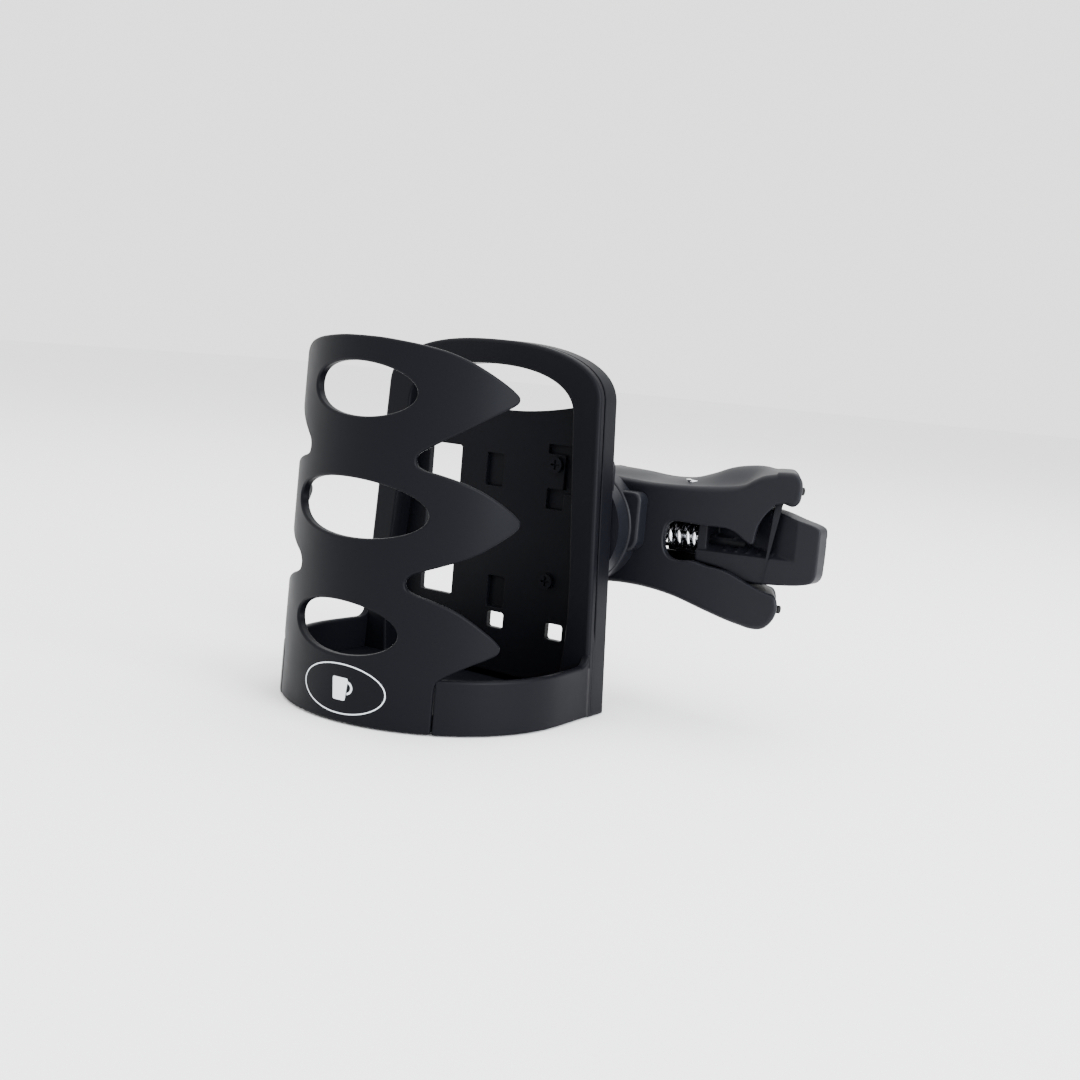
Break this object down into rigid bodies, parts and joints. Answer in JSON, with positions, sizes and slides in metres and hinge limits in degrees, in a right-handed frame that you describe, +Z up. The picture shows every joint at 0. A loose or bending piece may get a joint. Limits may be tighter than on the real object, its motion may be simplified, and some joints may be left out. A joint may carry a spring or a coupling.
{
  "type": "clamp-on cup holder",
  "caption": "Clamp-on cup holder: slotted front cage sliding in a D-shaped tray, arched back frame, and a swivelling spring clamp with a thumb slide.",
  "frame": {"origin": "on the cup's axis, at the underside of the tray where the holder stands", "axes": "+X towards the clamp's arms, -Y towards the front of the cage, +Z up the cup's axis"},
  "size_m": [0.1443, 0.1165, 0.1063],
  "materials": {
    "black_plastic": "black moulded plastic, fine satin grain",
    "clamp_plastic": "black moulded nylon, fine grain",
    "rubber": "black soft rubber",
    "steel": "dark zinc-plated steel",
    "bright_steel": "bright plated steel"
  },
  "bodies": {
    "holder": {"back_frame": "black_plastic", "rear_housing": "black_plastic", "housing_screws": "steel", "detent_spring": "steel", "swivel_socket": "clamp_plastic", "socket_screws": "steel", "friction_washer": "rubber", "swivel_bolt": "steel", "swivel_washer": "steel", "wave_washer": "steel", "swivel_nut": "steel"},
    "cage": {"front_cage": "black_plastic", "cage_tongue": "black_plastic", "tongue_screws": "steel"},
    "clamp": {"clamp_body": "clamp_plastic", "clamp_cover": "clamp_plastic", "cover_screws": "steel", "spring_rod": "bright_steel", "stop_screw": "bright_steel", "tip_bumpers": "rubber", "fixed_jaw_pad": "rubber", "slide_spring": "bright_steel"},
    "slide": {"thumb_slide": "clamp_plastic", "moving_jaw": "clamp_plastic", "jaw_screws": "steel", "moving_jaw_pad": "rubber"}
  },
  "joints": [
    {"name": "cage_slide", "type": "slide", "parent": "holder", "child": "cage", "axis": [0, -1, 0], "range_m": [0, 0.012]},
    {"name": "clamp_swivel", "type": "hinge", "parent": "holder", "child": "clamp", "pos_m": [0.026, 0.038, 0.0535], "axis": [0, 1, 0], "range_deg": [-90, 90]},
    {"name": "jaw_slide", "type": "slide", "parent": "clamp", "child": "slide", "axis": [-1, 0, 0], "range_m": [0, 0.011], "stiffness_N_per_m": 600, "springref_m": -0.01, "deforming": ["slide_spring"]}
  ]
}
